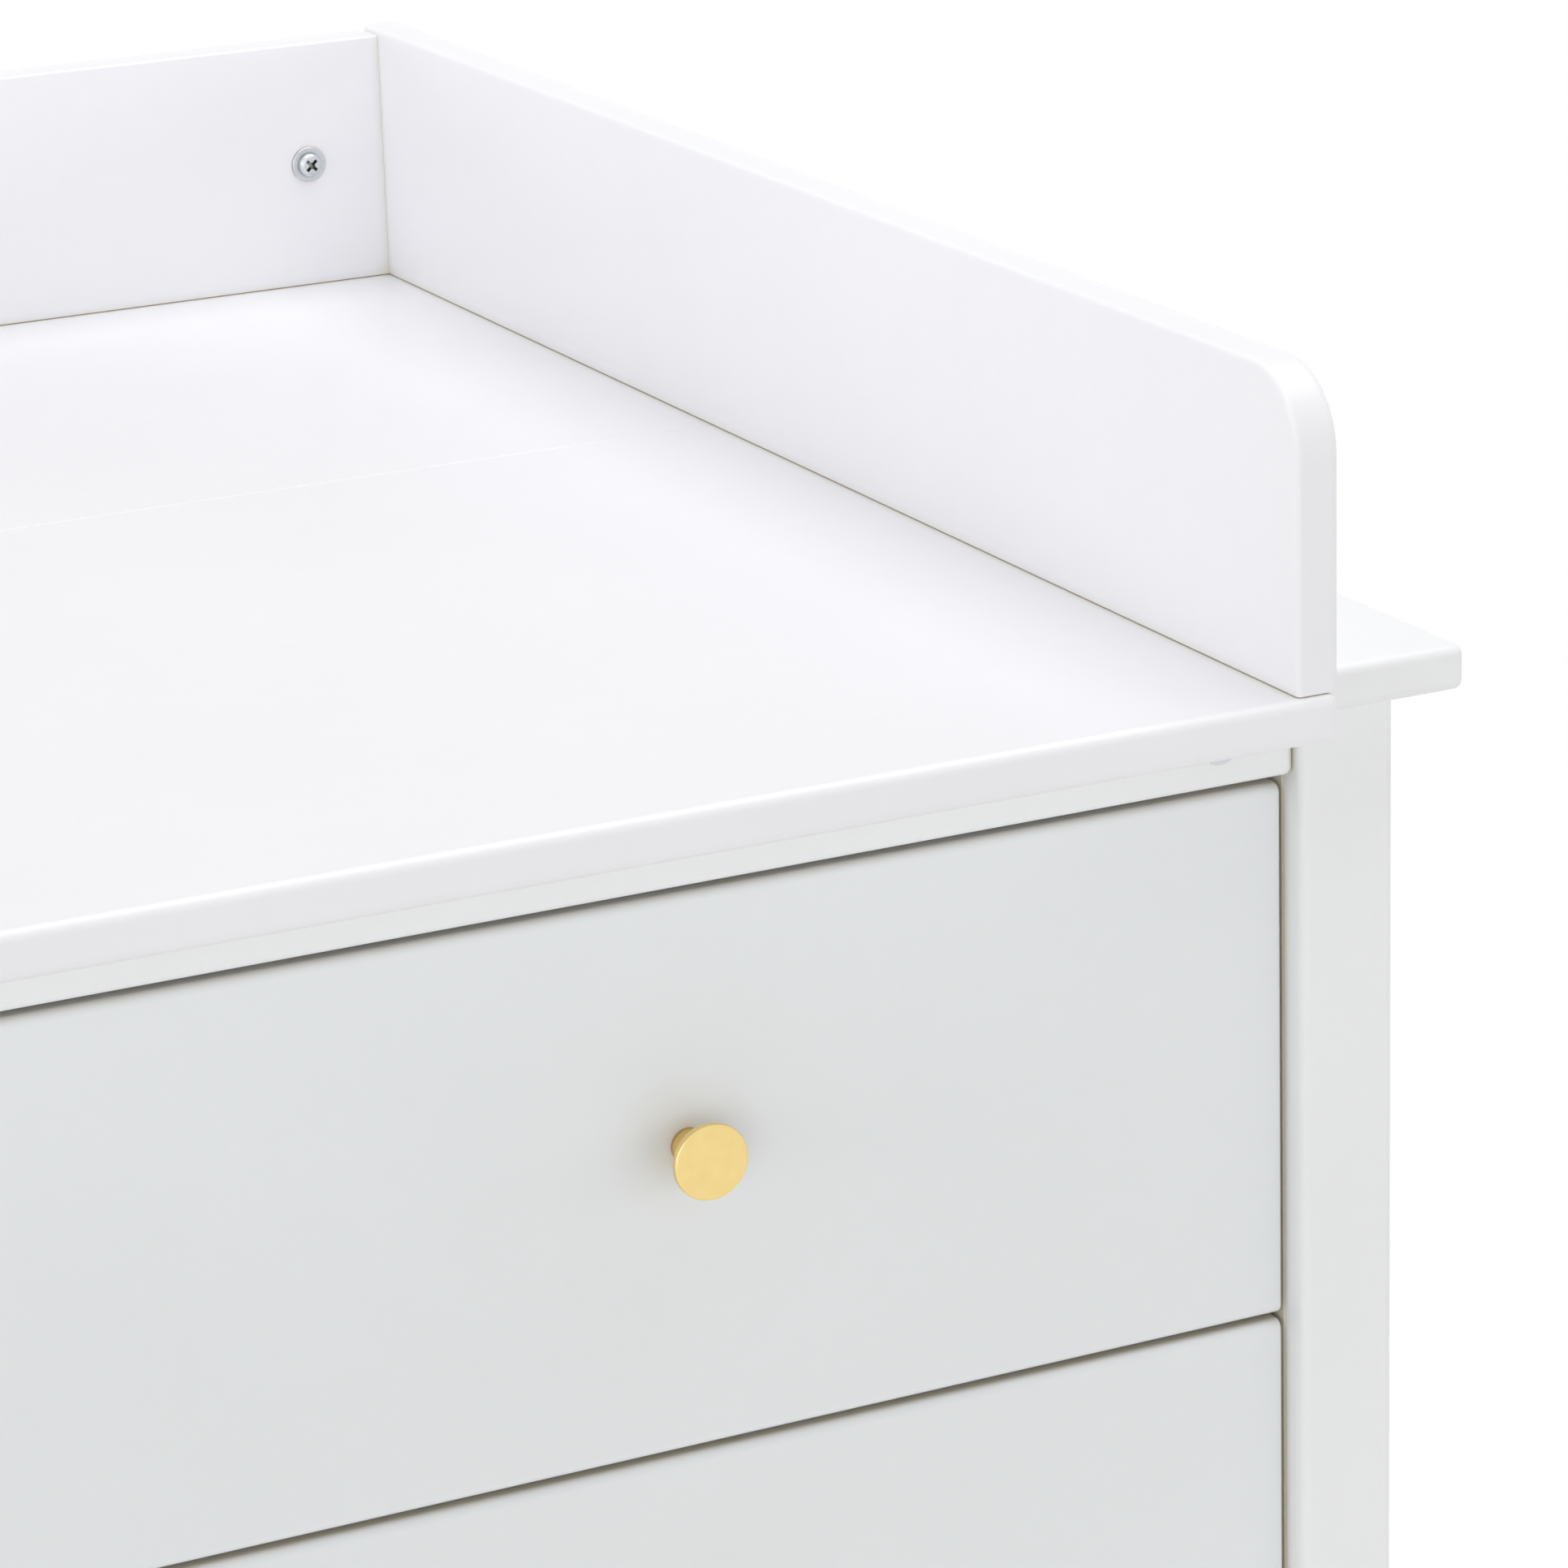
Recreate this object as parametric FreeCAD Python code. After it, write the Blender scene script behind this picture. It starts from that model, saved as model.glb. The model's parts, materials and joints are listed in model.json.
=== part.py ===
import FreeCAD, Part
import os

V = FreeCAD.Vector

# A changing dresser: a chest of three drawers on short board legs, with a changing tray on top that comes
# forward of the chest. Millimetres. +X to the right, +Y to the back, +Z up.
# Origin: on the floor, under the centre of the whole piece.

# ---------------------------------------------------------------- driving dimensions

board = 16.0               # lacquered board of the tray, top, legs, rails and drawer fronts
arris = 3.5                # rounding of the boards' outside edges

# changing tray
mat_width = 850.0          # clear width between the side rails
mat_depth = 750.0          # clear depth from the board's front edge to the back rail
side_rail_height = 106.1
back_rail_height = 103.5
side_rail_setback = 2.5    # side rails' front ends behind the board's front edge
board_end_inset = 1.5      # the board's ends inside the side rails' outer faces
side_rail_corner = 28.0    # rounding of the side rails' front top corners
rail_inner_arris = 1.8     # rounding of the side rails' inner edges
back_rail_arris = 1.0      # rounding of the back rail's upper edges
rail_foot_arris = 0.6      # rounding of the rails' bottom edges
rail_foot_gap = 0.15       # glue line under the rails
rail_end_gap = 0.05        # between the back rail's ends and the side rails
seam_from_front = 432.0    # seam of the two planks of the board
seam_bevel = 0.4
seam_dowel_spacing = 210.0
seam_dowel_count = 4

# chest
dresser_height = 870.0     # floor to the upper face of the dresser top
top_past_tray = 93.0       # how far the dresser top runs on beside the tray
tray_past_top = 73.0       # how far the tray comes forward of the dresser top
top_overhang = 17.25       # dresser top past the legs, at the front and the sides
leg_width = 36.75
foot_depth = 40.0          # width of the side panels' feet behind the leg boards
foot_corner = 25.0         # rounding of the cut-out between the feet
joint_bevel = 0.5          # broken edges at glued joints
front_rail_height = 27.3
front_rail_setback = 5.0   # front rails behind the legs' front faces
front_rail_end_gap = 0.15  # between the front rails and the legs
front_rail_arris = 3.0
back_rail_depth = 60.0     # height of the two back rails of the chest
back_panel_thickness = 5.0
base_thickness = 8.0
base_below_rail = 2.0      # base panel's upper face below the bottom rail's upper edge
panel_tongue = 4.5         # how far panels reach into their grooves
panel_play = 0.15          # clearance all round in a groove
tongue_from_leg = 32.0     # ends of the base panel's front and back tongues, from the legs
post_width = 45.0          # posts that carry the slides
post_before_slide_end = 5.0
post_rebate = 2.8          # how far the front posts reach into rebates in the legs
block_size = 45.0          # corner blocks under the dresser top
glide_radius = 7.0
glide_height = 3.0
glide_rim = 0.75

# drawers
drawer_names = ["top", "middle", "bottom"]
drawer_setback = 11.6      # drawer fronts behind the legs' front faces
front_height = 195.0
top_gap = 4.5              # between the top rail and the top drawer's front
front_gap = 2.4            # between drawer fronts, and to the bottom rail
side_gap = 1.8             # between a drawer front and a leg
front_arris = 3.5          # rounding of the fronts' long outside edges
front_end_arris = 1.2      # rounding of their other edges
box_board = 12.0           # sides and back of a drawer
box_back_room = 57.0       # between a closed drawer and the back panel
box_height = 150.0
box_lift = 20.0            # underside of the box above the lower edge of its front
box_arris = 2.0
bottom_thickness = 5.0
bottom_lift = 8.0          # drawer bottom above the lower edge of the sides

# telescopic slides
slide_from_front = 4.0     # behind the back of the drawer front
slide_back_room = 73.15    # between the slides and the back panel
slide_thickness = 12.7     # space between a post and a drawer side
slide_height = 45.0
slide_above_side = 30.0    # lower edge of the slide above the lower edge of the drawer side
slide_metal = 1.2
slide_play = 0.5           # running clearance between the members
web_space = 1.8            # room for screw heads behind the middle member
cabinet_flange = 10.2
middle_flange = 7.8
drawer_flange = 6.4

# knobs
knob_spacing = 501.7
knob_below_top = 86.7
knob_radius = 13.25
knob_plate = 2.6           # thickness of the disc
knob_projection = 18.6
knob_rim = 0.8             # rounding of the disc's front edge
knob_back_rim = 0.5
stem_foot_radius = 6.1
stem_foot_height = 1.5
stem_radius = 5.0
stem_flare = 2.4
flare_bow = 0.3            # how far the flare's middle stands off its ends, as a part of its size
stem_taper = 3.5
knob_hole_depth = 9.0

# fasteners
pan_head_radius = 5.0
pan_head_height = 2.9
cross_width = 1.2          # cross recess: its width and slots as parts of the head's radius
cross_slot = 0.28
cross_depth = 0.75         # as a part of the head's height
head_crown = 0.7           # rounding of a pan head, as a part of its height
washer_radius = 7.5
washer_thickness = 1.2
washer_rim = 0.4
fixing_radius = 2.5        # shank of the washered screws
rail_screw_length = 30.0
fixing_from_end = 50.5     # tray fixing screws, from the tray's ends
fixing_above_board = 52.0
rail_screw_from_leg = 29.5
rail_screw_below_top = 11.0
wood_screw_radius = 2.0
wood_screw_head = 4.0
wood_screw_length = 40.0
screw_hole_room = 0.5      # free depth past a screw's tip
tray_screw_end = 60.0      # outermost screws under the tray's rails, from the rails' ends
tray_screw_count = 4
block_screw_inset = 33.0   # screws of the corner blocks, from the inner side and the rail or panel
plate_width = 24.0
plate_thickness = 2.5
plate_margin = 12.0        # fixing plates past their outermost holes
plate_corner = 3.0
plate_screw_length = 14.0
plate_screw_below_top = (15.0, 42.0)
slide_screw_radius = 1.6
slide_screw_head = 3.4
slide_screw_head_height = 1.3
slide_screw_length = 15.0
knob_screw_radius = 2.0
knob_screw_head = 4.0
knob_screw_head_height = 2.4
hole_play = 0.3            # a screw in a clearance hole
grip_play = 0.05           # a screw in its thread, a dowel in its hole
dowel_radius = 3.0
dowel_length = 24.0
dowel_room = 0.5           # free depth past each end of a dowel
leg_dowel_end = 60.0       # outermost dowels of a leg from the ends of the side panel
leg_dowel_count = 4
back_rail_dowel_inset = 15.0

# ---------------------------------------------------------------- derived places

tray_half = mat_width / 2 + board
board_half = tray_half - board_end_inset
tray_depth = mat_depth + board
tray_front = -(tray_depth + plate_thickness) / 2
back = tray_front + tray_depth
rail_face = back - board                      # front face of the tray's back rail
seam_y = tray_front + seam_from_front
mat_z = dresser_height + board                # surface that the mat lies on
rail_foot_z = mat_z + rail_foot_gap

top_half = tray_half + top_past_tray
top_front = tray_front + tray_past_top
carcass_top = dresser_height - board
leg_out = top_half - top_overhang
leg_in = leg_out - leg_width
leg_front = top_front + top_overhang
leg_back = leg_front + board
front_post_y = leg_back - post_rebate
back_leg_front = back - board
side_in = leg_out - board

front_rail_y = leg_front + front_rail_setback
front_rail_back = front_rail_y + board
front_rail_half = leg_in - front_rail_end_gap
top_rail_z = carcass_top - front_rail_height
drawer_pitch = front_height + front_gap
bottom_rail_top = top_rail_z - top_gap - drawer_pitch * len(drawer_names)
skirt_z = bottom_rail_top - front_rail_height
base_top = bottom_rail_top - base_below_rail
base_z = base_top - base_thickness
back_panel_y = back_leg_front - back_panel_thickness

front_y = leg_front + drawer_setback
front_back = front_y + board
front_half = leg_in - side_gap
box_half = leg_in - slide_thickness
box_end = back_panel_y - box_back_room
slide_y = front_back + slide_from_front
slide_end = back_panel_y - slide_back_room
tongue_half = leg_in - tongue_from_leg
countersink_depth = wood_screw_head - wood_screw_radius
rear_post_back = slide_end - post_before_slide_end
knob_half = knob_spacing / 2


# ---------------------------------------------------------------- shapes

def slab(x, y, z, grow=0.0):
    """A box from three (low, high) pairs, grown by a clearance on every side."""
    low = V(x[0] - grow, y[0] - grow, z[0] - grow)
    return Part.makeBox(x[1] - x[0] + 2 * grow, y[1] - y[0] + 2 * grow, z[1] - z[0] + 2 * grow, low)


def rounded(shape, radius, pick=None):
    """Round all edges, or those whose bounding box pick accepts."""
    edges = [edge for edge in shape.Edges if pick is None or pick(edge.BoundBox)]
    return shape.makeFillet(radius, edges).Solids[0]


def beveled(shape, size, pick):
    """Break the edges whose bounding box pick accepts."""
    edges = [edge for edge in shape.Edges if pick(edge.BoundBox)]
    return shape.makeChamfer(size, edges).Solids[0]


def upright(box):
    """True for an edge along Z."""
    return box.XLength < 1e-4 and box.YLength < 1e-4


def along_x(box):
    """True for an edge along X."""
    return box.YLength < 1e-4 and box.ZLength < 1e-4


def at_bottom(shape):
    """A test for the edges of the shape's bottom face."""
    low = shape.BoundBox.ZMin
    return lambda box: box.ZMax < low + 1e-4


def mirrored(shape):
    """The twin on the other side of the middle."""
    return shape.mirror(V(0, 0, 0), V(1, 0, 0))


def pair(shape):
    """The shape and its twin."""
    return [mirrored(shape), shape]


def rod(radius, start, end):
    """A round rod between two points."""
    way = end - start
    return Part.makeCylinder(radius, way.Length, start, way)


def turned(edges):
    """A solid turned about Z from a closed profile in the XZ plane."""
    return Part.Face(Part.Wire(edges)).revolve(V(0, 0, 0), V(0, 0, 1), 360)


def line(start, end):
    """A profile line between two (radius, height) points."""
    return Part.makeLine(V(start[0], 0, start[1]), V(end[0], 0, end[1]))


def arc(start, middle, end):
    """A profile arc through three (radius, height) points."""
    points = [V(p[0], 0, p[1]) for p in (start, middle, end)]
    return Part.Arc(*points).toShape()


def placed(shape, point, way):
    """The shape with its origin at the point and its +Z turned to the way."""
    copy = shape.copy()
    copy.Placement = FreeCAD.Placement(point, FreeCAD.Rotation(V(0, 0, 1), way))
    return copy


def spread(low, high, count):
    """Evenly spaced places from low to high."""
    return [low + (high - low) * i / (count - 1) for i in range(count)]


# ---------------------------------------------------------------- fasteners

def cross_recess(radius, top):
    """The cross-shaped hole in a screw head, set 45 degrees round."""
    half = radius * cross_width / 2
    slot = radius * cross_slot
    deep = top * cross_depth
    cross = Part.makeCone(slot / 2, slot, deep, V(0, 0, top - deep))
    for turn in (45, 135):
        arm = slab((-half, half), (-slot / 2, slot / 2), (top - deep, top + deep))
        arm.rotate(V(0, 0, 0), V(0, 0, 1), turn)
        cross = cross.fuse(arm)
    return cross


def pan_screw(radius, length, head_radius, head_height, recess=True):
    """A pan-head screw: the head stands on z = 0 and the shank goes down."""
    head = Part.makeCylinder(head_radius, head_height)
    head = rounded(head, head_crown * head_height, lambda box: box.ZMin > head_height - 1e-4)
    shank = rod(radius, V(0, 0, head_height / 2), V(0, 0, -length))
    body = head.fuse(shank)
    return (body.cut(cross_recess(head_radius, head_height)) if recess else body).removeSplitter().Solids[0]


def flush_shape(play, length):
    """A countersunk head with its face on z = 0 and a shank below it, with play round both."""
    head = Part.makeCone(wood_screw_radius + play, wood_screw_head + play, countersink_depth,
                         V(0, 0, -countersink_depth))
    shank = rod(wood_screw_radius + play, V(0, 0, -countersink_depth / 2), V(0, 0, -length))
    return head.fuse(shank).removeSplitter().Solids[0]


def flush_screw(length):
    """A countersunk wood screw."""
    return flush_shape(0, length)


def flush_hole(length, play):
    """The hole for a countersunk wood screw."""
    return flush_shape(play, length + screw_hole_room)


def washer():
    """A flat washer that lies on z = 0."""
    ring = rounded(Part.makeCylinder(washer_radius, washer_thickness), washer_rim,
                   lambda box: box.ZMin > washer_thickness - 1e-4)
    return ring.cut(Part.makeCylinder(fixing_radius + hole_play, washer_thickness))


def drilled(shape, tools):
    """The shape less every tool."""
    for tool in tools:
        shape = shape.cut(tool)
    return shape.Solids[0]


# ---------------------------------------------------------------- places of the fasteners

front = V(0, -1, 0)
down = V(0, 0, -1)
half_dowel = dowel_length / 2


def both_sides(point):
    """The point and its twin on the other side of the middle."""
    return [V(-point.x, point.y, point.z), point]


tray_fixings = both_sides(V(tray_half - fixing_from_end, rail_face, mat_z + fixing_above_board))
rail_fixings = both_sides(V(leg_in - rail_screw_from_leg, front_rail_y, carcass_top - rail_screw_below_top))

plate_points = [V(point.x, back + plate_thickness, carcass_top - drop)
                for point in tray_fixings for drop in plate_screw_below_top]

side_rail_front = tray_front + side_rail_setback
side_rail_screws = [V(side * (tray_half - board / 2), y, dresser_height)
                    for side in (-1, 1)
                    for y in spread(side_rail_front + tray_screw_end, back - tray_screw_end,
                                    tray_screw_count)]
back_rail_screws = [V(x, back - board / 2, dresser_height)
                    for x in spread(tray_screw_end - mat_width / 2, mat_width / 2 - tray_screw_end,
                                    tray_screw_count)]
tray_screws = side_rail_screws + back_rail_screws

# low X, low Y and the screw's way in from the Y face that the block is held against
front_block = (leg_in - block_size, front_rail_back, block_screw_inset)
rear_block = (side_in - block_size, back_panel_y - block_size, block_size - block_screw_inset)
block_points = [point for x, y, inset in (front_block, rear_block)
                for point in both_sides(V(x + block_screw_inset, y + inset, top_rail_z))]

seam_reach = seam_dowel_spacing * (seam_dowel_count - 1) / 2
seam_dowels = [(V(x, seam_y, dresser_height + board / 2), V(0, 1, 0))
               for x in spread(-seam_reach, seam_reach, seam_dowel_count)]
leg_dowel_z = spread(skirt_z + leg_dowel_end, carcass_top - leg_dowel_end, leg_dowel_count)
leg_dowel_x = (side_in + panel_tongue + leg_out) / 2
leg_dowels = [(V(side * leg_dowel_x, y, z), V(0, 1, 0))
              for side in (-1, 1) for y in (leg_back, back_leg_front) for z in leg_dowel_z]
front_rail_dowel_y = (front_rail_y + front_post_y) / 2
front_rail_dowels = [(V(side * leg_in, front_rail_dowel_y, low + front_rail_height / 2), V(1, 0, 0))
                     for side in (-1, 1) for low in (top_rail_z, skirt_z)]
back_rail_levels = [base + level
                    for base in (skirt_z, carcass_top - back_rail_depth)
                    for level in (back_rail_dowel_inset, back_rail_depth - back_rail_dowel_inset)]
back_rail_dowels = [(V(side * leg_in, back - board / 2, z), V(1, 0, 0))
                    for side in (-1, 1) for z in back_rail_levels]
all_dowels = seam_dowels + leg_dowels + front_rail_dowels + back_rail_dowels


def dowel_holes(dowels):
    """Holes for dowels that sit half in each of two pieces."""
    reach = half_dowel + dowel_room
    return [rod(dowel_radius + grip_play, point - way * reach, point + way * reach)
            for point, way in dowels]


def screw_holes(points, way, length, radius):
    """Round holes from the points, along the way."""
    return [rod(radius, point - way, point + way * length) for point in points]


# ---------------------------------------------------------------- changing tray

def tray_planks():
    """The back and front planks of the tray's board, with a fine V groove at their seam."""
    x = (-board_half, board_half)
    whole = rounded(slab(x, (tray_front, back), (dresser_height, mat_z)), arris)
    groove = slab(x, (seam_y - seam_bevel, seam_y + seam_bevel), (mat_z - seam_bevel, mat_z + seam_bevel))
    groove.rotate(V(0, seam_y, mat_z), V(1, 0, 0), 45)
    holes = [groove] + dowel_holes(seam_dowels)
    holes += [placed(flush_hole(wood_screw_length, hole_play), point, down) for point in tray_screws]
    return [drilled(whole.common(slab(x, y, (dresser_height, mat_z))), holes)
            for y in ((seam_y, back), (tray_front, seam_y))]


def side_rail():
    """The right rail: an upright board with a large rounding at its front top corner."""
    top = mat_z + side_rail_height
    low = rail_foot_z
    corners = [V(tray_half, side_rail_front, low), V(tray_half, side_rail_front, top - side_rail_corner),
               V(tray_half, side_rail_front + side_rail_corner, top), V(tray_half, back, top),
               V(tray_half, back, low)]
    centre = V(tray_half, side_rail_front + side_rail_corner, top - side_rail_corner)
    bend = centre + V(0, -1, 1).normalize() * side_rail_corner
    edges = [Part.makeLine(corners[0], corners[1]),
             Part.Arc(corners[1], bend, corners[2]).toShape(),
             Part.makeLine(corners[2], corners[3]),
             Part.makeLine(corners[3], corners[4]),
             Part.makeLine(corners[4], corners[0])]
    rail = Part.Face(Part.Wire(edges)).extrude(V(-board, 0, 0))
    inner = tray_half - board
    rail = rounded(rail, arris, lambda box: box.ZMax > low + 1e-4 and box.XMax > inner + 1e-4)
    rail = rounded(rail, rail_inner_arris, lambda box: box.ZMax > low + 1e-4 and box.XMax < inner + 1e-4)
    rail = rounded(rail, rail_foot_arris, at_bottom(rail))
    return drilled(rail, screw_holes([point for point in side_rail_screws if point.x > 0], V(0, 0, 1),
                                     wood_screw_length + screw_hole_room, wood_screw_radius + grip_play))


def tray_back_rail():
    """The back rail, between the side rails."""
    half = mat_width / 2 - rail_end_gap
    rail = slab((-half, half), (rail_face, back), (rail_foot_z, mat_z + back_rail_height))
    rail = rounded(rail, back_rail_arris, lambda box: along_x(box) and box.ZMin > rail_foot_z + 1)
    rail = rounded(rail, rail_foot_arris, lambda box: along_x(box) and box.ZMax < rail_foot_z + 1e-4)
    holes = screw_holes(back_rail_screws, V(0, 0, 1), wood_screw_length + screw_hole_room,
                        wood_screw_radius + grip_play)
    holes += screw_holes(tray_fixings, V(0, 1, 0), board + 1, fixing_radius + hole_play)
    return drilled(rail, holes)


def fixing_plates():
    """Flat steel plates behind the tray and the chest, threaded for the tray's fixing screws."""
    plates = []
    low = carcass_top - max(plate_screw_below_top) - plate_margin
    for point in tray_fixings:
        plate = slab((point.x - plate_width / 2, point.x + plate_width / 2),
                     (back, back + plate_thickness), (low, point.z + plate_margin))
        plate = rounded(plate, plate_corner, lambda box: box.XLength < 1e-4 and box.ZLength < 1e-4)
        holes = screw_holes([point], V(0, 1, 0), board + plate_thickness + 1, fixing_radius + grip_play)
        holes += [placed(flush_hole(plate_screw_length, grip_play), hole, V(0, 1, 0))
                  for hole in plate_points]
        plates.append(drilled(plate, holes))
    return plates


# ---------------------------------------------------------------- chest

def dresser_top():
    """The top board of the chest."""
    top = rounded(slab((-top_half, top_half), (top_front, back), (carcass_top, dresser_height)), arris)
    return drilled(top, screw_holes(block_points, V(0, 0, 1), wood_screw_length + screw_hole_room,
                                    wood_screw_radius + grip_play))


def leg(at_front):
    """The right leg board, at the front or the back, with rounded outer and broken inner edges."""
    y = (leg_front, leg_back) if at_front else (back_leg_front, back)
    outer = y[0] if at_front else y[1]
    leg_board = slab((leg_in, leg_out), y, (glide_height, carcass_top))
    leg_board = rounded(leg_board, arris, lambda box: upright(box) and abs(box.YMin - outer) < 1e-4)
    if at_front:
        leg_board = leg_board.cut(slab((leg_in, side_in), (front_post_y, leg_back), (base_top, carcass_top)))
    leg_board = beveled(leg_board, joint_bevel, lambda box: upright(box) and box.ZLength > board
                        and abs(box.YMin - outer) > board / 2 and abs(box.XMin - side_in) > 1)
    dowels = leg_dowels + front_rail_dowels + back_rail_dowels
    return drilled(leg_board, dowel_holes(dowels))


def side_panel():
    """The right side panel: feet at its front and back, and a rounded cut-out between them."""
    panel = slab((side_in, leg_out), (leg_back, back_leg_front), (glide_height, carcass_top))
    opening = slab((side_in - 1, leg_out + 1), (leg_back + foot_depth, back_leg_front - foot_depth),
                   (-foot_corner, skirt_z))
    opening = rounded(opening, foot_corner,
                      lambda box: box.ZMin > skirt_z - 1e-4 and box.XLength > board)
    groove = slab((side_in, side_in + panel_tongue), (back_panel_y, back_leg_front),
                  (base_top, carcass_top), panel_play)
    base_groove = slab((side_in, side_in + panel_tongue), (front_rail_back, back_leg_front),
                       (base_z, base_top), panel_play)
    return drilled(panel.cut(opening), [groove, base_groove] + dowel_holes(leg_dowels))


def slide_posts(at_front):
    """Posts between the side panels and the slides that they carry."""
    y = (front_post_y, leg_back + post_width) if at_front else (rear_post_back - post_width, rear_post_back)
    post = slab((leg_in, side_in), y, (base_top, carcass_top))
    post = beveled(post, joint_bevel, upright)
    return pair(drilled(post, screw_holes(slide_screw_points(), V(1, 0, 0), slide_screw_length,
                                          slide_screw_radius + grip_play)))


def back_panel():
    """Thin panel in the side panels' grooves, standing on the base panel."""
    half = side_in + panel_tongue
    return slab((-half, half), (back_panel_y, back_leg_front), (base_top, carcass_top))


def base_panel():
    """Panel under the drawers, in grooves all round."""
    half = side_in + panel_tongue
    z = (base_z, base_top)
    tongue_y = (front_rail_back - panel_tongue, back_leg_front + panel_tongue)
    panel = slab((-half, half), (front_rail_back, back_leg_front), z)
    return panel.fuse(slab((-tongue_half, tongue_half), tongue_y, z)).removeSplitter().Solids[0]


def front_rail(low):
    """A rail between the front legs, with every edge rounded."""
    rail = slab((-front_rail_half, front_rail_half), (front_rail_y, front_rail_back),
                (low, low + front_rail_height))
    rail = rounded(rail, front_rail_arris)
    holes = dowel_holes(front_rail_dowels)
    if low == top_rail_z:
        holes += screw_holes(rail_fixings, V(0, 1, 0), board + 1, fixing_radius + hole_play)
    else:
        holes.append(slab((-tongue_half, tongue_half), (front_rail_back - panel_tongue, front_rail_back),
                          (base_z, base_top), panel_play))
    return drilled(rail, holes)


def back_rail(low):
    """A rail between the back legs."""
    rail = slab((-leg_in, leg_in), (back_leg_front, back), (low, low + back_rail_depth))
    rail = beveled(rail, joint_bevel, lambda box: along_x(box) and box.YMin > back - 1)
    holes = dowel_holes(back_rail_dowels)
    holes += [placed(flush_hole(plate_screw_length, grip_play), point, V(0, 1, 0))
              for point in plate_points]
    holes.append(slab((-tongue_half, tongue_half), (back_leg_front, back_leg_front + panel_tongue),
                      (base_z, base_top), panel_play))
    return drilled(rail, holes)


def corner_blocks():
    """Blocks that tie the rails, posts and side panels to the dresser top."""
    blocks = []
    holes = screw_holes(rail_fixings, V(0, 1, 0), rail_screw_length, fixing_radius + grip_play)
    holes += [placed(flush_hole(wood_screw_length, hole_play), point, down) for point in block_points]
    for x, y, inset in (front_block, rear_block):
        block = slab((x, x + block_size), (y, y + block_size), (top_rail_z, carcass_top))
        blocks += [drilled(shape, holes) for shape in pair(block)]
    return blocks


def leg_glides():
    """Round glides under the leg boards."""
    glides = []
    for y in (leg_front + board / 2, back - board / 2):
        disc = Part.makeCylinder(glide_radius, glide_height, V(leg_in + leg_width / 2, y, 0))
        glides += pair(rounded(disc, glide_rim, lambda box: box.ZMax < 1e-4))
    return glides


# ---------------------------------------------------------------- slides and drawers

def front_top(index):
    """Height of a drawer front's upper edge."""
    return top_rail_z - top_gap - index * drawer_pitch


def box_low(index):
    """Height of the drawer sides' lower edge."""
    return front_top(index) - front_height + box_lift


def slide_centre(index):
    """Height of the slides' middle line."""
    return box_low(index) + slide_above_side + slide_height / 2


def slide_screw_points():
    """Screws of the right-hand cabinet members, one into each post."""
    return [V(leg_in, post_back - post_width / 2, slide_centre(index))
            for index in range(len(drawer_names)) for post_back in (leg_back + post_width, rear_post_back)]


def channel(web, flange, height, z):
    """A slide member on the right: an upright web over the web range, and a flange along each edge."""
    y = (slide_y, slide_end)
    half = height / 2
    edges = [slab(flange, y, (z + low, z + low + slide_metal)) for low in (-half, half - slide_metal)]
    return slab(web, y, (z - half, z + half)).multiFuse(edges).removeSplitter().Solids[0]


middle_height = slide_height - 2 * (slide_metal + slide_play)
drawer_member_height = middle_height - 2 * (slide_metal + slide_play)


def cabinet_members():
    """The outer members, on the posts."""
    members = []
    holes = screw_holes(slide_screw_points(), V(-1, 0, 0), slide_thickness / 2,
                        slide_screw_radius + hole_play)
    for index in range(len(drawer_names)):
        member = channel((leg_in - slide_metal, leg_in), (leg_in - cabinet_flange, leg_in), slide_height,
                         slide_centre(index))
        members += pair(drilled(member, holes))
    return members


def middle_members(index):
    """The members that run between cabinet and drawer."""
    web = leg_in - slide_metal - web_space
    return pair(channel((web - slide_metal, web), (web - middle_flange, web), middle_height,
                        slide_centre(index)))


def drawer_members(index):
    """The members on the drawer's sides."""
    return pair(channel((box_half, box_half + slide_metal), (box_half, box_half + drawer_flange),
                        drawer_member_height, slide_centre(index)))


def drawer_front(index):
    """The slab front, rounded on every edge, grooved for the bottom and bored for the knobs."""
    high = front_top(index)
    shape = slab((-front_half, front_half), (front_y, front_back), (high - front_height, high))
    shape = rounded(shape, front_arris, lambda box: along_x(box) and box.YMin < front_y + 1e-4)
    shape = rounded(shape, front_end_arris, lambda box: not along_x(box) or box.YMin > front_back - 1e-4)
    holes = screw_holes(knob_points(index, front_y), V(0, 1, 0), board + 1, knob_screw_radius + hole_play)
    return drilled(shape, holes + [bottom_groove(index)])


def bottom_space(index):
    """X, Y and Z ranges of the drawer bottom."""
    half = box_half - box_board + panel_tongue
    low = box_low(index) + bottom_lift
    return ((-half, half), (front_back - panel_tongue, box_end - box_board + panel_tongue),
            (low, low + bottom_thickness))


def bottom_groove(index):
    """The groove that the drawer bottom sits in."""
    return slab(*bottom_space(index), panel_play)


def drawer_side(index):
    """The right side of a drawer box."""
    low = box_low(index)
    side = slab((box_half - box_board, box_half), (front_back, box_end), (low, low + box_height))
    side = rounded(side, box_arris,
                   lambda box: box.ZMin > low + box_height - 1e-4 and box.YLength > box_board)
    return drilled(side, [bottom_groove(index)])


def drawer_back(index):
    """The back of a drawer box, between its sides."""
    low = box_low(index)
    half = box_half - box_board
    rear = slab((-half, half), (box_end - box_board, box_end), (low, low + box_height))
    rear = rounded(rear, box_arris, lambda box: along_x(box) and box.ZMin > low + box_height - 1e-4)
    return drilled(rear, [bottom_groove(index)])


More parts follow.
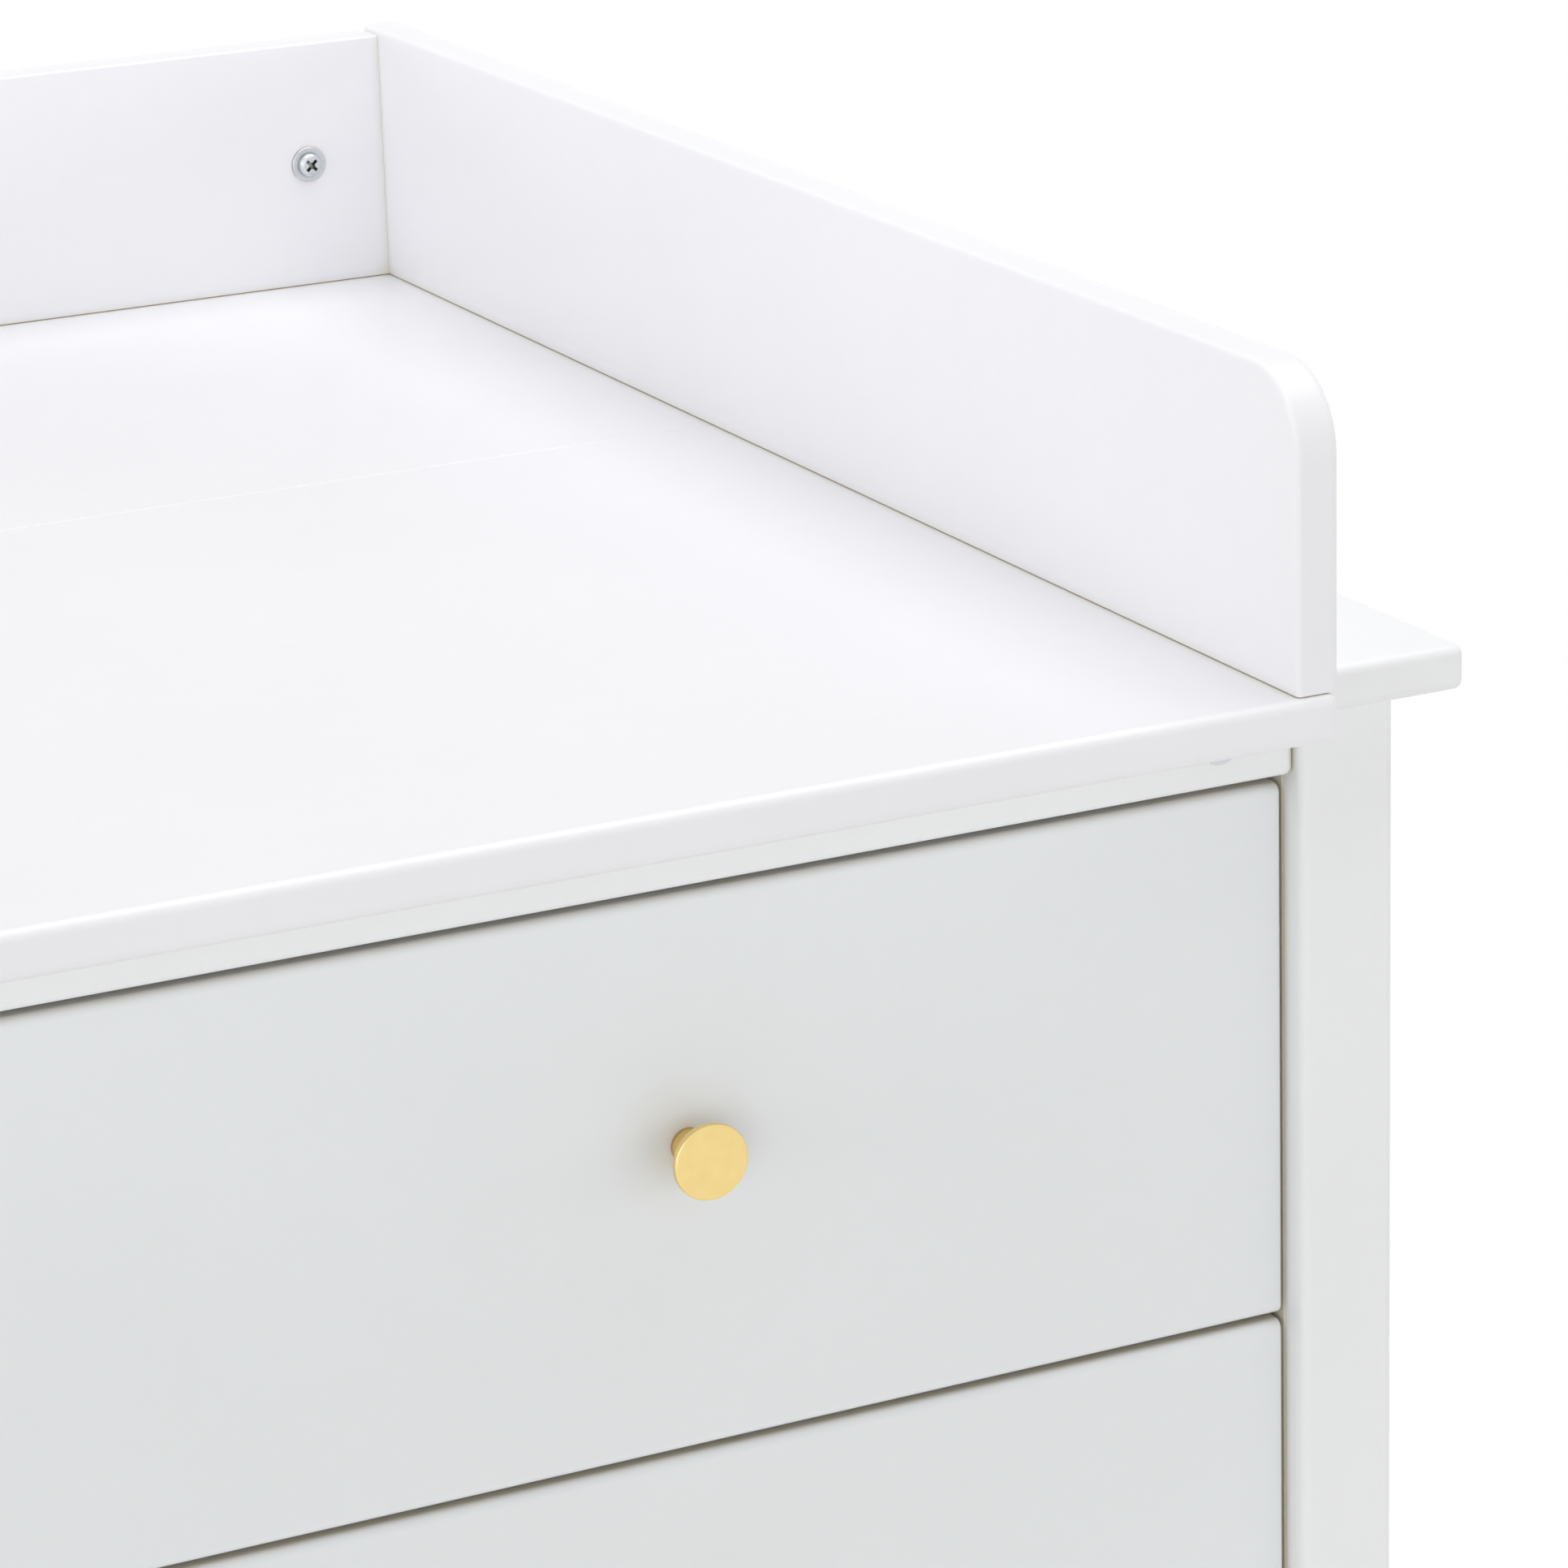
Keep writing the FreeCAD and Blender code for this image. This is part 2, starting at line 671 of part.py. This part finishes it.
def knob():
    """A flat disc on a waisted stem, with a threaded hole in its foot. Its foot stands on z = 0."""
    disc_back = knob_projection - knob_plate
    waist_top = disc_back - stem_flare
    waist_low = stem_foot_height + stem_taper
    edges = [line((0, 0), (stem_foot_radius, 0)),
             line((stem_foot_radius, 0), (stem_foot_radius, stem_foot_height)),
             line((stem_foot_radius, stem_foot_height), (stem_radius, waist_low)),
             line((stem_radius, waist_low), (stem_radius, waist_top)),
             arc((stem_radius, waist_top),
                 (stem_radius + flare_bow * stem_flare, disc_back - flare_bow * stem_flare),
                 (stem_radius + stem_flare, disc_back)),
             line((stem_radius + stem_flare, disc_back), (knob_radius, disc_back)),
             line((knob_radius, disc_back), (knob_radius, knob_projection)),
             line((knob_radius, knob_projection), (0, knob_projection)),
             line((0, knob_projection), (0, 0))]
    body = turned(edges)
    wide = 2 * knob_radius - 1e-3
    body = rounded(body, knob_back_rim, lambda box: box.XLength > wide and abs(box.ZMin - disc_back) < 1e-4
                   and box.ZLength < 1e-4)
    body = rounded(body, knob_rim, lambda box: box.XLength > wide and box.ZMin > knob_projection - 1e-4)
    return body.cut(Part.makeCylinder(knob_screw_radius + grip_play, knob_hole_depth)).Solids[0]


def knob_points(index, y):
    """Where the knobs' axes meet the plane at y."""
    return both_sides(V(knob_half, y, front_top(index) - knob_below_top))


# ---------------------------------------------------------------- all pieces

parts = {}

parts["tray_front_plank"], parts["tray_back_plank"] = tray_planks()
parts["tray_right_rail"] = side_rail()
parts["tray_left_rail"] = mirrored(side_rail())
parts["tray_back_rail"] = tray_back_rail()
parts["tray_fixing_plates"] = fixing_plates()
parts["tray_rail_screws"] = [placed(flush_screw(wood_screw_length), point, down) for point in tray_screws]

head_lift = V(0, -washer_thickness, 0)
tray_bolt = pan_screw(fixing_radius, board + washer_thickness + plate_thickness, pan_head_radius,
                      pan_head_height)
parts["tray_fixing_screws"] = [placed(tray_bolt, point + head_lift, front) for point in tray_fixings]
parts["tray_plate_screws"] = [placed(flush_screw(plate_screw_length), point, V(0, 1, 0))
                              for point in plate_points]
parts["fixing_washers"] = [placed(washer(), point, front) for point in tray_fixings + rail_fixings]

parts["dresser_top"] = dresser_top()
for place, at_front in (("front", True), ("back", False)):
    parts[place + "_right_leg"] = leg(at_front)
    parts[place + "_left_leg"] = mirrored(leg(at_front))
    parts[place + "_slide_posts"] = slide_posts(at_front)
parts["right_side_panel"] = side_panel()
parts["left_side_panel"] = mirrored(side_panel())
parts["back_panel"] = back_panel()
parts["base_panel"] = base_panel()
parts["top_front_rail"] = front_rail(top_rail_z)
parts["bottom_front_rail"] = front_rail(skirt_z)
parts["top_back_rail"] = back_rail(carcass_top - back_rail_depth)
parts["bottom_back_rail"] = back_rail(skirt_z)
parts["corner_blocks"] = corner_blocks()
parts["corner_block_screws"] = [placed(flush_screw(wood_screw_length), point, down)
                                for point in block_points]
rail_screw = pan_screw(fixing_radius, rail_screw_length, pan_head_radius, pan_head_height)
parts["front_rail_screws"] = [placed(rail_screw, point + head_lift, front) for point in rail_fixings]
parts["dowels"] = [rod(dowel_radius, point - way * half_dowel, point + way * half_dowel)
                   for point, way in all_dowels]
parts["leg_glides"] = leg_glides()

parts["cabinet_slide_members"] = cabinet_members()
slide_screw = pan_screw(slide_screw_radius, slide_screw_length, slide_screw_head, slide_screw_head_height,
                        recess=False)
slide_screws = [placed(slide_screw, point - V(slide_metal, 0, 0), V(-1, 0, 0))
                for point in slide_screw_points()]
parts["slide_screws"] = [twin for screw in slide_screws for twin in pair(screw)]

knob_screw_length = board + knob_hole_depth - 1
knob_screw = pan_screw(knob_screw_radius, knob_screw_length, knob_screw_head, knob_screw_head_height)
for index, name in enumerate(drawer_names):
    parts[name + "_drawer_front"] = drawer_front(index)
    parts[name + "_drawer_right_side"] = drawer_side(index)
    parts[name + "_drawer_left_side"] = mirrored(drawer_side(index))
    parts[name + "_drawer_back"] = drawer_back(index)
    parts[name + "_drawer_bottom"] = slab(*bottom_space(index))
    parts[name + "_drawer_knobs"] = [placed(knob(), point, front) for point in knob_points(index, front_y)]
    parts[name + "_drawer_knob_screws"] = [placed(knob_screw, point, V(0, 1, 0))
                                           for point in knob_points(index, front_back)]
    parts[name + "_drawer_inner_slides"] = drawer_members(index)
    parts[name + "_drawer_telescope_slides"] = middle_members(index)

os.makedirs("parts", exist_ok=True)
for name, shape in parts.items():
    if isinstance(shape, list):
        shape = Part.makeCompound(shape)
    shape.exportStep("parts/" + name + ".step")
    print(name, len(shape.Solids), shape.isValid(), round(shape.Volume))
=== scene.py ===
import json
import math

import bpy
from mathutils import Matrix, Vector


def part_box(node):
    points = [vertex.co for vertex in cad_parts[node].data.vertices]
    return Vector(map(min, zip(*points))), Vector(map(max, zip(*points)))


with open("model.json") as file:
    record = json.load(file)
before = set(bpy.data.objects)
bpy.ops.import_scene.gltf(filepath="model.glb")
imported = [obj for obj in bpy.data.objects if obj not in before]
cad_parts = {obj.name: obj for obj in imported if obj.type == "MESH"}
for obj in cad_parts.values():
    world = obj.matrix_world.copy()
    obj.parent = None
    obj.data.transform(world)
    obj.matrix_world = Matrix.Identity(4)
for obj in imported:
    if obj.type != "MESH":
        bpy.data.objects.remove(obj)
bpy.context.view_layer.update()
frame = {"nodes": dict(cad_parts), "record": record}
nodes = frame["nodes"]
scene = bpy.context.scene

WHITE = (1, 1, 1, 1)
MICRON = 0.000001

# The span that a noise mostly keeps to.
NOISE_SPAN = (0.3, 0.7)
# The colour sockets of a Mix node, whose names its number sockets have too.
MIX_FACTOR, MIX_A, MIX_B, MIX_RESULT = 0, 6, 7, 2
CORNER_SAMPLES = 4

# The floor: its side and level in metres, and the distances from its middle between which
# it turns plain white.
FLOOR_SIDE = 60
FLOOR_LEVEL = -0.0004
FLOOR_FADE = (1.4, 4.0)
FLOOR_LIT_COLOUR = (0.83, 0.82, 0.805, 1)
FLOOR_SHADOW_COLOUR = (0.42, 0.42, 0.42, 1)
FLOOR_GLOW = 0.70

# The surround's strength by the sine of the height above the horizon: the band below the
# first height, the sky above the second.
BAND_EDGE = (0.12, 0.42)
BAND_STRENGTH = 1.75
SKY_STRENGTH = 0.36

# Square lamps: name, place, the point it faces, side in metres, watts.
LAMPS = (
    ("overhead", (0.7, 0.0, 4.2), (0.2, 0.0, 0.8), 3.2, 77),
    ("left", (-4.2, -0.6, 2.2), (0, 0, 0.9), 2.6, 24),
    ("front", (-1.9, -3.8, 0.8), (0, 0, 0.7), 2.4, 22),
)

# The photo's camera, fitted to the dresser's edges: focal length in pixels of the photo's
# width, angles in degrees, place in metres.
PHOTO_WIDTH = 1932
PHOTO_FOCAL = 7151.65
CAMERA_YAW, CAMERA_PITCH, CAMERA_ROLL = 25.959, 17.489, 1.768
CAMERA_PLACE = (-0.49874, -1.90296, 1.42132)
SENSOR_WIDTH = 36.0
CLIP_END = 200.0


# ---------------------------------------------------------------- node helpers

class Tree:
    """A node tree, with short ways to add, set and link its nodes."""

    def __init__(self, tree):
        self.tree = tree

    def put(self, value, socket):
        """A constant or a link on an input socket."""
        if isinstance(value, bpy.types.NodeSocket):
            self.tree.links.new(value, socket)
        else:
            socket.default_value = value

    def add(self, kind, inputs=None, **settings):
        """A new node with its settings, then its input sockets by name or number."""
        node = self.tree.nodes.new(kind)
        for key, value in settings.items():
            setattr(node, key, value)
        for key, value in (inputs or {}).items():
            self.put(value, node.inputs[key])
        return node

    def math(self, kind, *values):
        return self.add("ShaderNodeMath", dict(enumerate(values)), operation=kind).outputs[0]

    def remap(self, value, low, high, to_low=0.0, to_high=1.0, course="LINEAR"):
        """One range spread over another, and held inside it."""
        return self.add("ShaderNodeMapRange", {
            "Value": value, "From Min": low, "From Max": high,
            "To Min": to_low, "To Max": to_high}, interpolation_type=course).outputs["Result"]

    def seen_or_mirrored(self):
        """1 for camera, glossy and transmitted rays."""
        path = self.add("ShaderNodeLightPath").outputs
        total = path["Is Camera Ray"]
        for key in ("Is Glossy Ray", "Is Transmission Ray"):
            total = self.math("MAXIMUM", total, path[key])
        return total

    def light_and_show(self, lights, shows, output):
        """The tree's output: one shader that lights the dresser, another that is seen."""
        mix = self.add("ShaderNodeMixShader", {0: self.seen_or_mirrored(), 1: lights, 2: shows})
        self.add(output, {"Surface": mix.outputs[0]})


class Maker(Tree):
    """Builds one procedural material, in metres of the object's own space."""

    def __init__(self, name):
        self.material = bpy.data.materials.new(name)
        self.material.use_nodes = True
        super().__init__(self.material.node_tree)
        self.shader = next(n for n in self.tree.nodes if n.type == "BSDF_PRINCIPLED")
        self.place = self.add("ShaderNodeTexCoord").outputs["Object"]

    def set(self, **values):
        """Constants and links on the shader's sockets, by name with underscores for spaces."""
        for key, value in values.items():
            self.put(value, self.shader.inputs[key.replace("_", " ")])

    def stretch(self, scale, turn=(0, 0, 0)):
        """The place stretched by three factors, then turned."""
        return self.add("ShaderNodeMapping", {
            "Scale": scale, "Rotation": turn, "Vector": self.place}).outputs["Vector"]

    def noise(self, scale, detail, rough, vector=None, warp=0.0):
        return self.add("ShaderNodeTexNoise", {
            "Scale": scale, "Detail": detail, "Roughness": rough, "Distortion": warp,
            "Vector": vector or self.place}).outputs["Fac"]

    def spread(self, noise, low=0.0, high=1.0):
        """A noise's usual span spread over a range."""
        return self.remap(noise, *NOISE_SPAN, low, high)

    def weigh(self, a, a_weight, b, b_weight):
        """The sum of two values times their weights."""
        return self.math("MULTIPLY_ADD", a, a_weight, self.math("MULTIPLY", b, b_weight))

    def blend(self, factor, a, b):
        """Two colours mixed by a factor."""
        return self.add("ShaderNodeMix", {MIX_FACTOR: factor, MIX_A: a, MIX_B: b},
                        data_type="RGBA").outputs[MIX_RESULT]

    def steps(self, value, stops):
        """A colour ramp from (place, colour) pairs."""
        node = self.add("ShaderNodeValToRGB", {"Fac": value})
        ramp = node.color_ramp
        while len(ramp.elements) < len(stops):
            ramp.elements.new(0.5)
        for element, (place, colour) in zip(ramp.elements, stops):
            element.position = place
            element.color = colour
        return node.outputs["Color"]

    def relief(self, height, distance, strength, under=None):
        """Bump from a height of 0 to 1 that stands for a distance in metres, laid over the
        relief under it."""
        inputs = {"Height": height, "Distance": distance, "Strength": strength}
        if under is not None:
            inputs["Normal"] = under
        return self.add("ShaderNodeBump", inputs).outputs["Normal"]

    def painted_shade_mask(self, distance, low, high):
        """A mask for painted shade: 1 in the open, 0 deep in a corner where shade falls."""
        node = self.add("ShaderNodeAmbientOcclusion", {"Distance": distance},
                        samples=CORNER_SAMPLES)
        return self.remap(node.outputs["AO"], low, high)

    def parts(self):
        """X, Y and Z of the place."""
        return self.add("ShaderNodeSeparateXYZ", {0: self.place}).outputs


def srgb(red, green, blue):
    """A colour given as screen values from 0 to 255."""
    def line(value):
        value /= 255
        return value / 12.92 if value <= 0.04045 else ((value + 0.055) / 1.055) ** 2.4
    return (line(red), line(green), line(blue), 1.0)


# ---------------------------------------------------------------- materials

def lacquer(name, colour, shade):
    """Sprayed satin paint on a board: a faint mottle, orange peel and a slow waviness of the
    face, with a warm painted shade in the corners and gaps."""
    rough, painted_shade_colour = 0.33, srgb(222, 217, 204)
    m = Maker(name)
    mottle = m.noise(scale=5.0, detail=4.0, rough=0.55)
    fine = m.noise(scale=90.0, detail=3.0, rough=0.6)
    tone = m.remap(m.math("MULTIPLY_ADD", fine, 0.25, mottle), low=0.42, high=0.82)
    paint = m.blend(tone, colour, shade)
    # Painted shade: a warm, darker tone in the corners and gaps, where shade falls.
    corner = m.painted_shade_mask(distance=0.008, low=0.15, high=0.7)
    m.set(Base_Color=m.blend(corner, painted_shade_colour, paint))
    sheen = m.noise(scale=38.0, detail=3.0, rough=0.6)
    m.set(Roughness=m.spread(sheen, rough - 0.04, rough + 0.05))
    wave = m.relief(m.noise(scale=16.0, detail=1.0, rough=0.4), 120 * MICRON, strength=0.5)
    peel = m.noise(scale=420.0, detail=2.0, rough=0.5)
    m.set(Normal=m.relief(peel, 20 * MICRON, strength=0.7, under=wave))
    m.set(IOR=1.5, Coat_Weight=0.15, Coat_Roughness=0.22)
    return m.material


def satin_brass(name, spacing, level, pitch):
    """Lathe-turned and lacquered brass: fine rings about each knob's axis, and a painted shade,
    darker and browner, in the recesses. The knobs' axes stand in two columns, a spacing apart,
    and in rows, a pitch apart, one of which is at the level."""
    deep, pale, painted_shade_colour = srgb(236, 209, 138), srgb(244, 219, 152), srgb(190, 134, 50)
    m = Maker(name)
    x, _, z = m.parts()
    across = m.math("SUBTRACT", m.math("ABSOLUTE", x), spacing / 2)
    row = m.math("DIVIDE", m.math("SUBTRACT", z, level), pitch)
    up = m.math("MULTIPLY", m.math("SUBTRACT", row, m.math("ROUND", row)), pitch)
    squares = [m.math("MULTIPLY", side, side) for side in (across, up)]
    radius = m.math("SQRT", m.math("ADD", *squares))
    along = m.add("ShaderNodeCombineXYZ", {0: radius}).outputs[0]
    rings = m.noise(scale=2600.0, detail=3.0, rough=0.7, vector=along)
    cloud = m.noise(scale=160.0, detail=3.0, rough=0.6)
    face = m.blend(m.spread(m.weigh(rings, 0.45, cloud, 0.55)), deep, pale)
    # Painted shade: darker brown about the stem and behind the disc, where shade falls.
    corner = m.painted_shade_mask(distance=0.012, low=0.3, high=0.95)
    m.set(Base_Color=m.blend(corner, painted_shade_colour, face), Metallic=1.0)
    m.set(Roughness=m.remap(m.math("ADD", cloud, rings), 0.6, 1.4, to_low=0.27, to_high=0.40))
    m.set(Normal=m.relief(rings, 12 * MICRON, strength=0.6))
    return m.material


def zinc(name, colour, shade):
    """Bright zinc on steel: soft crystal patches and a fine tumbled grain, with painted shade
    in the recesses."""
    rough, painted_shade_colour = 0.34, srgb(92, 90, 88)
    m = Maker(name)
    patches = m.add("ShaderNodeTexVoronoi", {"Scale": 700.0, "Vector": m.place},
                    feature="SMOOTH_F1").outputs["Distance"]
    grain = m.noise(scale=2400.0, detail=3.0, rough=0.6)
    tone = m.weigh(grain, 0.4, patches, 0.5)
    face = m.blend(m.remap(tone, low=0.15, high=0.85), shade, colour)
    # Painted shade: near black in the screw heads' cross recesses.
    corner = m.painted_shade_mask(distance=0.0035, low=0.25, high=0.8)
    m.set(Base_Color=m.blend(corner, painted_shade_colour, face), Metallic=1.0)
    m.set(Roughness=m.spread(grain, rough - 0.05, rough + 0.06))
    m.set(Normal=m.relief(grain, 4 * MICRON, strength=0.4))
    return m.material


def rolled_steel(name):
    """Galvanised strip, drawn along Y: long streaks and cloudy zinc."""
    dull, bright = srgb(150, 153, 157), srgb(206, 208, 211)
    m = Maker(name)
    streaks = m.noise(scale=60.0, detail=4.0, rough=0.6, vector=m.stretch((30.0, 0.35, 30.0)))
    cloud = m.noise(scale=22.0, detail=3.0, rough=0.6)
    m.set(Base_Color=m.blend(m.spread(m.weigh(streaks, 0.6, cloud, 0.4)), dull, bright))
    m.set(Metallic=1.0, Roughness=m.spread(streaks, 0.26, 0.42))
    m.set(Normal=m.relief(streaks, 20 * MICRON, strength=0.6))
    return m.material


def raw_wood(name, pale, dark, ring_scale, along):
    """Planed softwood or beech: growth lines and fine fibres along one axis, which is 0, 1 or
    2 for X, Y or Z."""
    def drawn_out(across, lengthwise):
        scale = [across] * 3
        scale[along] = lengthwise
        return m.stretch(scale)

    m = Maker(name)
    wander = m.noise(scale=3.0, detail=3.0, rough=0.5, vector=drawn_out(18.0, 0.9), warp=0.4)
    lines = m.add("ShaderNodeTexWave", {
        "Scale": ring_scale, "Distortion": 5.0, "Detail": 3.0, "Detail Scale": 0.7,
        "Vector": drawn_out(1.0, 0.05)},
        wave_type="BANDS", bands_direction="X" if along else "Y").outputs["Fac"]
    fibres = m.noise(scale=1.0, detail=4.0, rough=0.65, vector=drawn_out(900.0, 14.0))
    tone = m.math("MULTIPLY_ADD", fibres, 0.3, m.weigh(lines, 0.45, wander, 0.35))
    middle = tuple((a + b) / 2 for a, b in zip(pale, dark))
    m.set(Base_Color=m.steps(tone, [(0.2, pale), (0.52, middle), (0.85, dark)]))
    m.set(Roughness=m.spread(fibres, 0.55, 0.75))
    m.set(Normal=m.relief(tone, 80 * MICRON, strength=0.6))
    return m.material


def foil_board(name):
    """Off-white melamine: a fine pressed linen grain and a sparse speckle."""
    dull, bright, speckle = srgb(232, 231, 228), srgb(238, 237, 235), srgb(205, 203, 198)
    m = Maker(name)
    warp, weft = (m.noise(scale=1.0, detail=1.0, rough=0.5, vector=m.stretch(scale))
                  for scale in ((60.0, 60.0, 2600.0), (2600.0, 2600.0, 60.0)))
    press = m.weigh(warp, 0.5, weft, 0.5)
    speck = m.remap(m.noise(scale=700.0, detail=2.0, rough=0.7), 0.62, 0.75, to_high=0.35)
    cloud = m.spread(m.noise(scale=7.0, detail=3.0, rough=0.5))
    m.set(Base_Color=m.blend(speck, m.blend(cloud, dull, bright), speckle))
    m.set(Roughness=m.remap(press, 0.35, 0.65, to_low=0.42, to_high=0.56))
    m.set(Normal=m.relief(press, 30 * MICRON, strength=0.7))
    return m.material


def painted_hardboard(name):
    """Thin hardboard with a matt printed paint: short random fibres under the colour."""
    dull, bright, fibre_colour = srgb(231, 230, 226), srgb(238, 237, 234), srgb(214, 210, 200)
    m = Maker(name)
    slanted = m.stretch((1.0, 0.45, 1.0), turn=(0, 0, 0.6))
    fibre = m.noise(scale=260.0, detail=5.0, rough=0.7, vector=slanted, warp=1.6)
    cloud = m.spread(m.noise(scale=9.0, detail=4.0, rough=0.55))
    base = m.blend(cloud, dull, bright)
    m.set(Base_Color=m.blend(m.remap(fibre, 0.55, 0.75, to_high=0.5), base, fibre_colour))
    m.set(Roughness=m.spread(fibre, 0.52, 0.68))
    m.set(Normal=m.relief(fibre, 50 * MICRON, strength=0.6))
    return m.material


def moulded_plastic(name):
    """Grey nylon with a fine spark-eroded grain and faint scuffs."""
    plain, scuffed = srgb(196, 195, 190), srgb(172, 170, 164)
    m = Maker(name)
    grain = m.noise(scale=2200.0, detail=3.0, rough=0.6)
    scuff = m.noise(scale=320.0, detail=4.0, rough=0.7, vector=m.stretch((1.0, 6.0, 1.0)))
    m.set(Base_Color=m.blend(m.remap(scuff, 0.55, 0.7, to_high=0.6), plain, scuffed))
    m.set(Roughness=m.spread(grain, 0.42, 0.6))
    m.set(Normal=m.relief(grain, 30 * MICRON, strength=0.6))
    return m.material


# Both knobs of a drawer are one node: their axes stand as far apart as its box is wide, less
# a disc's width.
knob_low, knob_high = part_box("top_drawer_knobs")
knob_spacing = knob_high.x - knob_low.x - (knob_high.z - knob_low.z)
knob_level = (knob_low.z + knob_high.z) / 2
next_low, next_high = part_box("middle_drawer_knobs")
knob_pitch = knob_level - (next_low.z + next_high.z) / 2

# One lacquer in three copies whose whites differ by a trace; the drawer fronts' copy is the
# darkest and greyest.
tray_white = lacquer("tray_satin_lacquer", srgb(243, 243, 246), srgb(240, 240, 243))
front_white = lacquer("front_satin_lacquer", srgb(236, 239, 240), srgb(233, 236, 237))
chest_white = lacquer("chest_satin_lacquer", srgb(242, 243, 244), srgb(239, 240, 241))

finishes = {
    "lacquer": chest_white,
    "raw_board": raw_wood("planed_softwood", srgb(232, 227, 213), srgb(208, 200, 181),
                          ring_scale=9.0, along=2),
    "drawer_board": foil_board("white_foil_board"),
    "thin_panel": painted_hardboard("painted_hardboard"),
    "brass": satin_brass("satin_brass", knob_spacing, knob_level, knob_pitch),
    "zinc": zinc("bright_zinc", srgb(226, 229, 231), srgb(206, 210, 213)),
    "slide_steel": rolled_steel("galvanised_strip"),
    "dowel_wood": raw_wood("beech_dowel", srgb(214, 184, 146), srgb(186, 150, 108),
                           ring_scale=40.0, along=1),
    "glide": moulded_plastic("grey_nylon"),
}
for part in frame["record"]["subparts"]:
    node, slot = part["node"], part["material_slot"]
    finish = finishes[slot]
    if slot == "lacquer" and node.startswith("tray_"):
        finish = tray_white
    if node.endswith("_drawer_front"):
        finish = front_white
    materials = nodes[node].data.materials
    materials.clear()
    materials.append(finish)


# ---------------------------------------------------------------- floor and light

def make_floor():
    """A wide pale floor that keeps a soft shadow near what stands on it and turns plain white
    far away."""
    bpy.ops.mesh.primitive_plane_add(size=FLOOR_SIDE, location=(0, 0, FLOOR_LEVEL))
    floor = bpy.context.object
    floor.name = "floor"
    material = bpy.data.materials.new("pale_floor")
    material.use_nodes = True
    t = Tree(material.node_tree)
    t.tree.nodes.clear()
    place = t.add("ShaderNodeTexCoord").outputs["Object"]
    reach = t.add("ShaderNodeVectorMath", {0: place}, operation="LENGTH").outputs["Value"]
    fade = t.remap(reach, *FLOOR_FADE, course="SMOOTHSTEP")
    shaded = t.add("ShaderNodeBsdfDiffuse", {"Color": FLOOR_SHADOW_COLOUR}).outputs[0]
    glow = t.add("ShaderNodeEmission", {"Color": WHITE, "Strength": FLOOR_GLOW}).outputs[0]
    near = t.add("ShaderNodeAddShader", {0: shaded, 1: glow}).outputs[0]
    far = t.add("ShaderNodeEmission", {"Color": WHITE, "Strength": 1.0}).outputs[0]
    shows = t.add("ShaderNodeMixShader", {0: fade, 1: near, 2: far}).outputs[0]
    lights = t.add("ShaderNodeBsdfDiffuse", {"Color": FLOOR_LIT_COLOUR}).outputs[0]
    t.light_and_show(lights, shows, "ShaderNodeOutputMaterial")
    floor.data.materials.append(material)


def make_world():
    """A white surround: it shows plain white, and lights with a bright band along the horizon
    all round."""
    world = bpy.data.worlds.new("studio")
    scene.world = world
    world.use_nodes = True
    t = Tree(world.node_tree)
    t.tree.nodes.clear()
    way = t.add("ShaderNodeTexCoord").outputs["Generated"]
    height = t.add("ShaderNodeSeparateXYZ", {0: way}).outputs["Z"]
    strength = t.remap(height, *BAND_EDGE, BAND_STRENGTH, SKY_STRENGTH, course="SMOOTHSTEP")
    lights, shows = (
        t.add("ShaderNodeBackground", {"Color": WHITE, "Strength": value}).outputs[0]
        for value in (strength, 1.0))
    t.light_and_show(lights, shows, "ShaderNodeOutputWorld")


def soft_box(name, place, target, size, watts):
    """A large square lamp that isn't seen itself."""
    data = bpy.data.lights.new(name, "AREA")
    data.shape = "SQUARE"
    data.size = size
    data.energy = watts
    lamp = bpy.data.objects.new(name, data)
    lamp.location = place
    ahead = Vector(target) - Vector(place)
    lamp.rotation_euler = ahead.to_track_quat("-Z", "Y").to_euler()
    lamp.visible_camera = False
    scene.collection.objects.link(lamp)


make_floor()
make_world()
for lamp in LAMPS:
    soft_box(*lamp)


# ---------------------------------------------------------------- camera

def make_camera():
    """The viewpoint of the photograph: from the front left, above the tray, looking down and
    to the right."""
    yaw, pitch, roll = (math.radians(a) for a in (CAMERA_YAW, CAMERA_PITCH, CAMERA_ROLL))
    level = math.cos(pitch)
    ahead = Vector((math.sin(yaw) * level, math.cos(yaw) * level, -math.sin(pitch)))
    right = Vector((math.cos(yaw), -math.sin(yaw), 0))
    down = ahead.cross(right)
    x = math.cos(roll) * right + math.sin(roll) * down
    y = math.sin(roll) * right - math.cos(roll) * down
    data = bpy.data.cameras.new("photo_view")
    data.sensor_width = SENSOR_WIDTH
    data.lens = PHOTO_FOCAL / PHOTO_WIDTH * SENSOR_WIDTH
    data.clip_end = CLIP_END
    camera = bpy.data.objects.new("photo_view", data)
    camera.matrix_world = Matrix((x, y, -ahead)).transposed().to_4x4()
    camera.location = CAMERA_PLACE
    scene.collection.objects.link(camera)
    scene.camera = camera


make_camera()
scene.view_settings.view_transform = "Standard"
